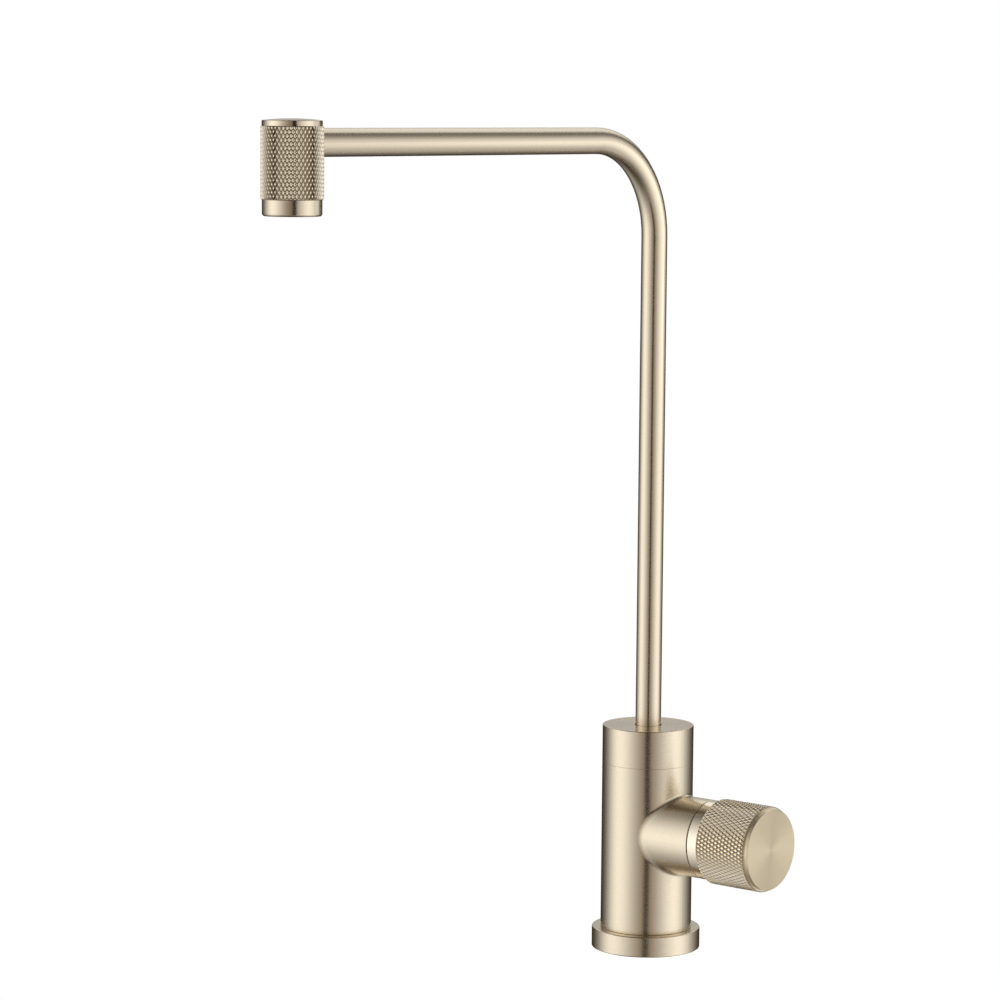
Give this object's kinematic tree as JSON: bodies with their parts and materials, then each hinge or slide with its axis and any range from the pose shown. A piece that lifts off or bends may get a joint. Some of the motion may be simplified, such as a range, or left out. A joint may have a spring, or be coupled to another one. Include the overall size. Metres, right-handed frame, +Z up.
{
  "type": "sink faucet",
  "caption": "Slim deck-mounted sink tap: round body with a knurled side knob, thin swivelling bent spout and knurled outlet head with an aerator.",
  "frame": {"origin": "the middle of the base flange's underside, on the deck, on the axis that the spout swivels about", "axes": "+Z up along the swivel axis, -Y towards the outlet at rest, +X out along the valve's axis towards the knob"},
  "size_m": [0.081, 0.2348, 0.323],
  "materials": {
    "champagne_metal": "brushed satin, pale champagne gold coating on brass",
    "plain_brass": "machined, uncoated",
    "plain_steel": "plain stainless",
    "black_rubber": "moulded, matt",
    "white_plastic": "moulded acetal, matt",
    "white_ceramic": "lapped alumina ceramic"
  },
  "bodies": {
    "tap_base": {"base_flange": "champagne_metal", "deck_gasket": "black_rubber", "tap_body": "champagne_metal", "spout_collar": "champagne_metal", "lower_slide_ring": "white_plastic", "upper_slide_ring": "white_plastic", "collar_seal_ring": "black_rubber", "valve_seat_seal": "black_rubber", "fixed_ceramic_disc": "white_ceramic", "valve_bonnet": "plain_brass", "bonnet_seal_ring": "black_rubber", "thrust_washer": "white_plastic"},
    "spout": {"spout_spigot": "plain_brass", "spigot_seal_rings": "black_rubber", "spout_tube": "champagne_metal", "outlet_head": "champagne_metal", "head_lid": "champagne_metal", "outlet_ring": "champagne_metal", "aerator_cage": "white_plastic", "aerator_screens": "plain_steel", "aerator_flow_plate": "white_plastic", "aerator_washer": "black_rubber"},
    "knob": {"valve_stem": "plain_brass", "stem_seal_rings": "black_rubber", "stem_circlip": "plain_steel", "moving_ceramic_disc": "white_ceramic", "knob_shell": "champagne_metal", "knob_hub": "plain_brass", "knob_screw": "plain_steel", "knob_cap": "champagne_metal"}
  },
  "joints": [
    {"name": "spout_swivel", "type": "hinge", "parent": "tap_base", "child": "spout", "pos_m": [0, 0, 0], "axis": [0, 0, 1], "continuous": true},
    {"name": "knob_turn", "type": "hinge", "parent": "tap_base", "child": "knob", "pos_m": [0, 0, 0.0465], "axis": [1, 0, 0], "range_deg": [0, 90]}
  ]
}
